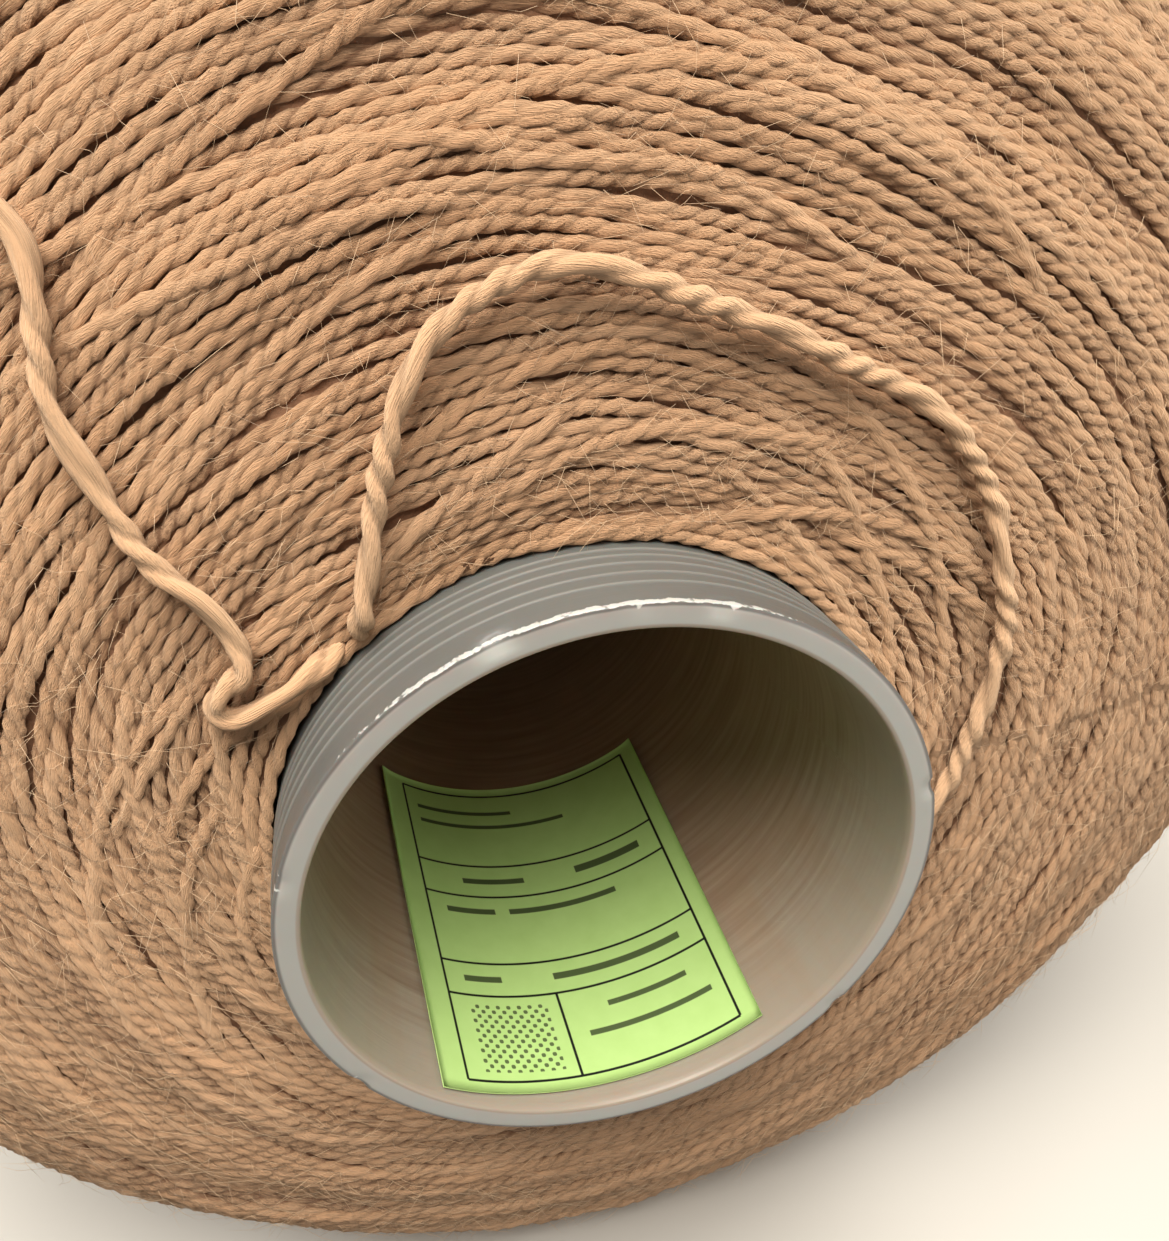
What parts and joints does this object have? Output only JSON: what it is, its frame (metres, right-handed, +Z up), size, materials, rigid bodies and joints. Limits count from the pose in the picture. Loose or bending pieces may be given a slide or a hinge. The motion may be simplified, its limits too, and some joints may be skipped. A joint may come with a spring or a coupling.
{
  "type": "cone of yarn",
  "caption": "Cone of two-ply wool yarn cross-wound on a tapered plastic tube, lying on its side, with a paper label in the bore and loose yarn at its open end.",
  "frame": {"origin": "under the middle of the package, on the surface that it lies on", "axes": "+Z up from the resting surface; the tube runs along Y with its open large end towards -Y, leaning up there by the taper of 4.33 degrees; +X is to the right as seen from the large end"},
  "size_m": [0.1856, 0.1732, 0.1825],
  "materials": {
    "tube_plastic": "translucent grey-white polypropylene, satin",
    "camel_wool": "fuzzy two-ply woollen yarn, wound",
    "loose_wool": "fuzzy two-ply woollen yarn, loose",
    "label_paper": "green coated paper, self-adhesive"
  },
  "bodies": {
    "root": {"cone_tube": "tube_plastic", "yarn_body": "camel_wool", "label": "label_paper", "tail_loop": "loose_wool", "tail_end": "loose_wool"}
  },
  "joints": []
}
